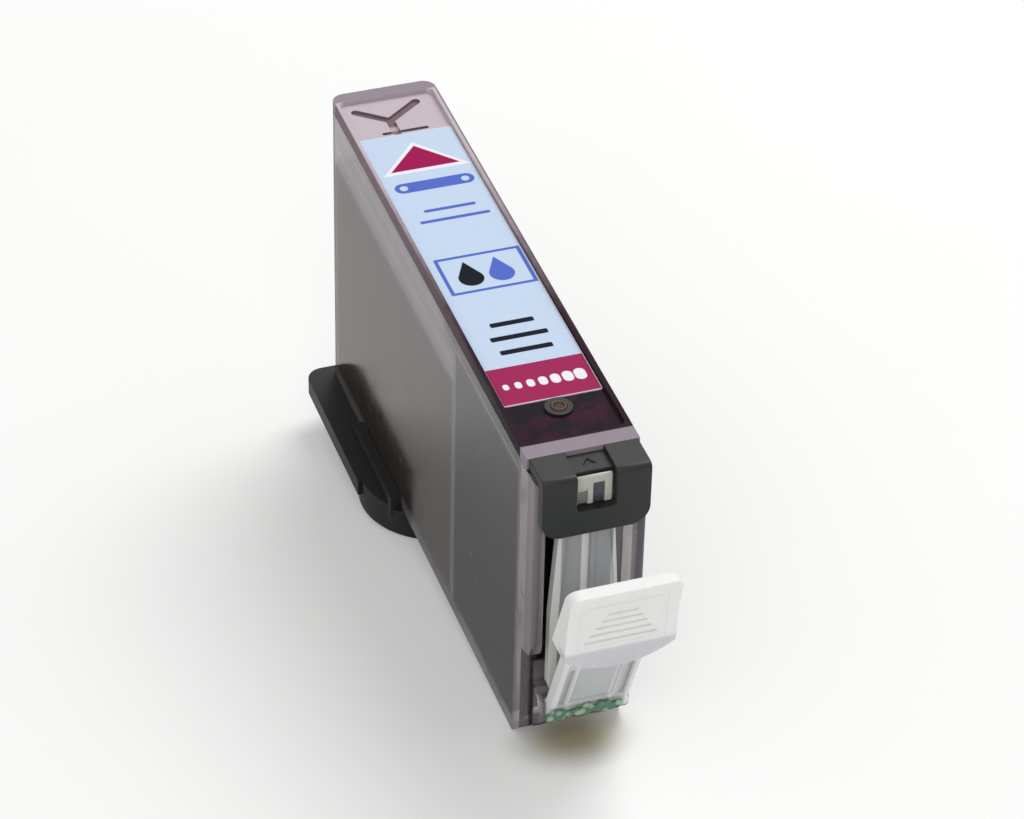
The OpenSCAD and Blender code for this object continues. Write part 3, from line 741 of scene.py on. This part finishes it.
def ink_finish():
    material, tree, shader, place = new_material("magenta_ink")
    swirl = noise(tree, place, 0.2, detail=3.0)
    tree.links.new(mix_color(tree, swirl, seen(20, 6, 14), seen(52, 12, 32)), shader.inputs["Base Color"])
    feed(tree, shader.inputs["Roughness"], spread(tree, swirl, 0.05, 0.16))
    bump(tree, shader, noise(tree, place, 0.5), 0.05, 0.3)
    return material


def make_foam_group():
    group, given, result = new_group("foam_cells", [PLACE, ("Cells", NUMBER, 2.0)], ["Height", "Soaked"])
    cells = add_node(group, "ShaderNodeTexVoronoi", feature="DISTANCE_TO_EDGE")
    feed(group, cells.inputs["Vector"], given["Place"])
    feed(group, cells.inputs["Scale"], given["Cells"])
    feed(group, result["Height"], step(group, cells.outputs["Distance"], 0.0, 0.25))
    feed(group, result["Soaked"], step(group, noise(group, given["Place"], 0.12, detail=5.0), 0.35, 0.65))
    return group


foam_group = make_foam_group()


def foam_finish(name, cells, dry, soaked):
    material, tree, shader, place = new_material(name)
    foam = use_group(tree, foam_group, Place=place, Cells=cells)
    walls = calc(tree, "MULTIPLY", calc(tree, "SUBTRACT", 1.0, foam["Height"]), 0.5)
    color = mix_color(tree, foam["Soaked"], dry, soaked)
    tree.links.new(mix_color(tree, walls, color, seen(190, 170, 176)), shader.inputs["Base Color"])
    feed(tree, shader.inputs["Roughness"], spread(tree, foam["Soaked"], 0.95, 0.45))
    bump(tree, shader, foam["Height"], 0.2, 0.8)
    return material


wear(ink_finish(), nodes["ink_charge"])
wear(foam_finish("upper_foam", 1.6, seen(196, 176, 184), seen(140, 108, 122)), nodes["upper_sponge"])
wear(foam_finish("lower_foam", 2.6, seen(120, 90, 104), seen(82, 52, 68)), nodes["lower_sponge"])
wear(foam_finish("wick_felt", 5.0, seen(120, 70, 90), seen(80, 30, 55)), nodes["outlet_wick"])

# %% [markdown]
# ## The dark cover and the black cap
# Both are opaque moulded plastic with the fine matt grain that a sparked
# mould leaves. The cover over the front edge is greenish black, and the cap
# under the outlet is plain black with a few light scuffs from handling.

# %% Dark moulded plastics


def dark_plastic(name, dark, light, grain, gloss, scuff):
    material, tree, shader, place = new_material(name)
    skin = use_group(tree, skin_group, Place=place, Grain=grain)
    scuffs = use_group(tree, scuff_group, Place=place, Amount=scuff)["Mask"]
    color = mix_color(tree, skin["Gloss"], dark, light)
    tree.links.new(mix_color(tree, scuffs, color, seen(96, 100, 98)), shader.inputs["Base Color"])
    feed(tree, shader.inputs["Roughness"], calc(tree, "ADD", spread(tree, skin["Gloss"], *gloss), scuffs))
    bump(tree, shader, skin["Height"], 0.03, 0.5)
    return material


wear(dark_plastic("cover_plastic", seen(27, 31, 28), seen(37, 41, 38), 8.0, (0.42, 0.55), 0.1),
     nodes["front_cap"])
wear(dark_plastic("cap_plastic", seen(16, 18, 18), seen(27, 29, 29), 6.0, (0.4, 0.6), 0.2),
     nodes["outlet_cap"])
wear(rubber("seal_rubber", seen(50, 50, 52), seen(70, 70, 72)), nodes["cap_seal"])

# %% [markdown]
# ## The light guide
# The light guide is a clear strip in front of the tank that leads the
# chip's light up to the window. It looks grey-blue in its panes, and its
# rails and middle rib get a painted highlight where light leaves it. The
# window's head is milky, with two sunken fields in painted shade.

# %% Light guide
HEAD_H = 4.2
# Left, bottom, right and top of each sunken field, and the colour of its painted shade
HEAD_FIELD_SHADES = [(-1.85, 0.0, -0.75, 2.1, seen(150, 150, 146)), (-0.1, 0.2, 1.2, 3.0, seen(84, 86, 100))]


def guide_plastic():
    material, tree, shader, place = new_material("guide_plastic")
    low, high = (in_mm(corner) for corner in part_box("light_guide"))
    smoke = noise(tree, vector_calc(tree, "MULTIPLY", place, (1.0, 1.0, 0.15)), 0.5, detail=3.0)
    panes = mix_color(tree, smoke, seen(168, 171, 176), seen(198, 200, 203))
    # Painted highlights on the two rails and the middle rib
    left_rail = zone(tree, place, (low.x - 1, low.y - 1, low.z - 1), (low.x + 1.1, high.y + 1, high.z), 0.15)
    right_rail = zone(tree, place, (high.x - 0.9, low.y - 1, low.z - 1), (high.x + 1, high.y + 1, high.z), 0.1)
    rail_and_rib_highlights = calc(tree, "MAXIMUM", left_rail, right_rail)
    rib = zone(tree, place, (-0.65, low.y - 1, low.z - 1), (0.15, high.y + 1, high.z), 0.1)
    rail_and_rib_highlights = calc(tree, "MAXIMUM", rail_and_rib_highlights, rib)
    color = mix_color(tree, rail_and_rib_highlights, panes, seen(255, 255, 250))
    head = zone(tree, place, (-3, low.y - 1, high.z - HEAD_H), (3, high.y + 1, high.z + 1), 0.1)
    color = mix_color(tree, head, color, seen(224, 224, 212))
    # Painted shade in the sunken fields of the window's head
    for left, bottom, right, top, shade in HEAD_FIELD_SHADES:
        field = zone(tree, place, (left, low.y - 1, high.z - HEAD_H + bottom),
                     (right, high.y + 1, high.z - HEAD_H + top), 0.06)
        color = mix_color(tree, field, color, shade)
    tree.links.new(color, shader.inputs["Base Color"])
    feed(tree, shader.inputs["Roughness"], spread(tree, smoke, 0.1, 0.25))
    set_values(shader, Transmission_Weight=0.3, IOR=1.5)
    bump(tree, shader, smoke, 0.05, 0.3)
    return material


wear(guide_plastic(), nodes["light_guide"])

# %% [markdown]
# ## The lever
# The lever is natural, milky polypropylene. Light goes a little way into it
# and comes out again, so its thin edges glow and its grooves stay soft.
# Subsurface scattering does that, over a fine grain and a few scuffs where
# a thumb presses it. The pad is painted lighter than the stem, as lit and
# shaded faces of the one plastic; its lower lip, its grip grooves and a
# crease get painted shade, and the rails on the stem painted highlights.

# %% Milky lever
# Painted shade lines in the grip grooves: their number, the top one's height and their pitch
GRIP_SHADE_LINES = 5
GRIP_TOP = 29.5
GRIP_PITCH = 0.98
# Left and right side of each rail on the stem, and the strength of its painted highlight
STEM_RAIL_HIGHLIGHTS = [(-4.95, -4.0, 0.9), (-2.95, -2.4, 0.6), (2.15, 2.7, 0.6), (4.2, 4.95, 0.8)]


def lever_plastic():
    material, tree, shader, place = new_material("milky_lever")
    skin = use_group(tree, skin_group, Place=place, Grain=7.0)
    scuffs = use_group(tree, scuff_group, Place=place, Amount=0.2)["Mask"]
    low, high = (in_mm(corner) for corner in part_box("latch_lever"))
    parts = add_node(tree, "ShaderNodeSeparateXYZ")
    feed(tree, parts.inputs[0], place)
    # Painted light and shade: the pad is lighter than the stem below it
    pad_light_over_stem_shade = step(tree, parts.outputs[2], low.z + 8, high.z - 9)
    stem = mix_color(tree, skin["Gloss"], seen(194, 196, 198), seen(206, 208, 209))
    pad = mix_color(tree, skin["Gloss"], seen(245, 246, 243), seen(252, 253, 250))
    # Painted shade under the pad's lower lip
    under_lip_shade = zone(tree, place, (low.x - 1, low.y - 1, 18.0), (high.x + 1, low.y + 3.5, 24.6), 0.5)
    pad = mix_color(tree, under_lip_shade, pad, seen(216, 216, 222))
    # Painted shade in the grip grooves
    for index in range(GRIP_SHADE_LINES):
        half = 1.7 + 0.6 * index
        z = GRIP_TOP - GRIP_PITCH * index
        line = zone(tree, place, (-half, low.y - 1, z - 0.12), (half, low.y + 3.5, z + 0.12), 0.22)
        pad = mix_color(tree, calc(tree, "MULTIPLY", line, 0.35), pad, seen(196, 198, 202))
    # Painted shade in a crease above the grips
    crease_shade = zone(tree, place, (-4.4, low.y - 1, 31.2), (4.2, low.y + 3.5, 31.45), 0.25)
    pad = mix_color(tree, calc(tree, "MULTIPLY", crease_shade, 0.7), pad, seen(190, 192, 195))
    # Painted highlights on the rails of the stem
    for left, right, rail_highlight_strength in STEM_RAIL_HIGHLIGHTS:
        rail = zone(tree, place, (left, low.y - 1, low.z - 1), (right, high.y + 1, high.z + 1), 0.12)
        stem = mix_color(tree, calc(tree, "MULTIPLY", rail, rail_highlight_strength), stem, seen(240, 241, 240))
    tree.links.new(mix_color(tree, pad_light_over_stem_shade, stem, pad), shader.inputs["Base Color"])
    feed(tree, shader.inputs["Roughness"], calc(tree, "ADD", spread(tree, skin["Gloss"], 0.38, 0.55), scuffs))
    set_values(shader, Subsurface_Weight=0.35, Subsurface_Scale=1.2 * MM, Subsurface_Radius=(1.0, 0.9, 0.85))
    bump(tree, shader, skin["Height"], 0.03, 0.45)
    return material


wear(lever_plastic(), nodes["latch_lever"])

# %% [markdown]
# ## The chip
# The chip is a small green board under the lever's root. Its outer face
# carries four gold contacts, and its upper end ends in a torn, pale strip,
# where it was broken out of its panel. The strip is a new piece: an
# upright grid on the end of the board, whose edges are pulled into uneven
# teeth, with a little thickness and soft corners.

# %% Board, contacts and inner parts


def board_finish(name, dark, light, patch):
    """Green solder mask; the patches are where the mask is thin."""
    material, tree, shader, place = new_material(name)
    cells = add_node(tree, "ShaderNodeTexVoronoi")
    feed(tree, cells.inputs["Vector"], place)
    cells.inputs["Scale"].default_value = patch
    mask = step(tree, cells.outputs["Distance"], 0.25, 0.55)
    mottled = mix_color(tree, noise(tree, place, 1.5, detail=4.0), dark, light)
    tree.links.new(mix_color(tree, mask, mottled, dark), shader.inputs["Base Color"])
    feed(tree, shader.inputs["Roughness"], spread(tree, mask, 0.3, 0.5))
    bump(tree, shader, mask, 0.05, 0.5)
    return material


def contact_gold():
    material, tree, shader, place = new_material("contact_gold")
    wipe = noise(tree, vector_calc(tree, "MULTIPLY", place, (4.0, 0.5, 0.5)), 2.0, detail=3.0)
    color = mix_color(tree, wipe, (0.72, 0.47, 0.16, 1), (0.92, 0.68, 0.30, 1))
    tree.links.new(color, shader.inputs["Base Color"])
    feed(tree, shader.inputs["Roughness"], spread(tree, wipe, 0.18, 0.4))
    set_values(shader, Metallic=1.0)
    bump(tree, shader, wipe, 0.01, 0.4)
    return material


wear(board_finish("board_green", seen(36, 78, 52), seen(58, 104, 72), 1.2), nodes["chip_board"])
wear(contact_gold(), nodes["chip_contacts"])
wear(rubber("lamp_resin", seen(214, 206, 170), seen(238, 232, 205), gloss=(0.15, 0.3)), nodes["chip_led"])
wear(rubber("die_epoxy", seen(18, 18, 18), seen(34, 34, 34), gloss=(0.3, 0.5)), nodes["chip_die"])
wear(rubber("tape_foam", seen(205, 204, 196), seen(225, 224, 216), gloss=(0.7, 0.9)), nodes["chip_adhesive"])

# %% Torn strip at the board's end
STRIP_W = 9.0 * MM
STRIP_H = 1.7 * MM
STRIP_T = 0.22 * MM
STRIP_AT = Vector((-0.7, -56.45, 7.3)) * MM
TEETH = 11


def torn_strip():
    chance = random.Random(7)
    bm = bmesh.new()
    bmesh.ops.create_grid(bm, x_segments=2 * TEETH, y_segments=3, size=0.5)
    bmesh.ops.transform(bm, matrix=Matrix.Rotation(math.radians(90), 4, "X"), verts=bm.verts)
    bmesh.ops.scale(bm, vec=(STRIP_W, 1, STRIP_H), verts=bm.verts)
    top = max(vert.co.z for vert in bm.verts)
    for vert in bm.verts:
        height = (vert.co.z + top) / (2 * top)
        vert.co.y += chance.uniform(-0.06, 0.06) * MM
        if height > 0.9:
            vert.co.z -= chance.uniform(0.0, 0.9) * MM
            vert.co.x += chance.uniform(-0.08, 0.08) * MM
        if height < 0.1:
            vert.co.z += chance.uniform(0.0, 0.45) * MM
    bmesh.ops.solidify(bm, geom=bm.faces[:], thickness=STRIP_T)
    bmesh.ops.translate(bm, vec=STRIP_AT + Vector((0, 0, STRIP_H / 2)), verts=bm.verts)
    bmesh.ops.recalc_face_normals(bm, faces=bm.faces)
    mesh = bpy.data.meshes.new("torn_strip")
    bm.to_mesh(mesh)
    bm.free()
    strip = bpy.data.objects.new("torn_strip", mesh)
    bpy.context.scene.collection.objects.link(strip)
    soft = strip.modifiers.new("soft_corners", "BEVEL")
    soft.width = 0.05 * MM
    soft.segments = 2
    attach(strip, "tank")
    return strip


wear(board_finish("torn_board", seen(84, 126, 100), seen(196, 222, 196), 1.0), torn_strip())
print("strip made")
